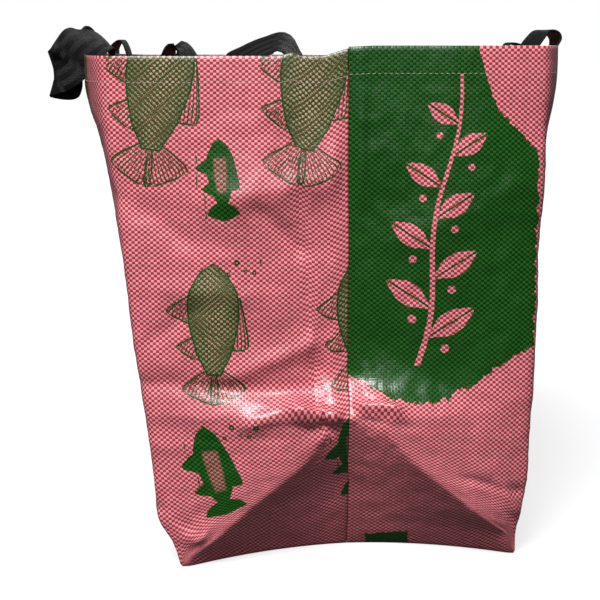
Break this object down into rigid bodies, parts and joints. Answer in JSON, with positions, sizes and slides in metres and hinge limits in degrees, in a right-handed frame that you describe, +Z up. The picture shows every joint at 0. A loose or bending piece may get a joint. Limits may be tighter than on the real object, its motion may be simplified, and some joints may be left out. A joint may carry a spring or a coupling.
{
  "type": "rice sack shopping bag",
  "caption": "Tall open-topped shopping bag of glossy woven sack cloth, with a boxed base folded in at the ends and webbing handles.",
  "frame": {"origin": "middle of the bounding box on the surface that the bag stands on", "axes": "+Z up, the narrow sides across X, the main faces along Y, the near narrow side of the picture faces -Y"},
  "size_m": [0.4576, 0.502, 0.4549],
  "materials": {
    "fish_cloth": "glossy laminated weave, pink with dark red checks and green fish",
    "leaf_cloth": "glossy laminated weave, pink with a green field and a pink sprig",
    "webbing": "matt black ribbed webbing"
  },
  "bodies": {
    "root": {"fish_panel": "fish_cloth", "leaf_panel": "leaf_cloth", "left_handle": "webbing", "right_handle": "webbing"}
  },
  "joints": []
}
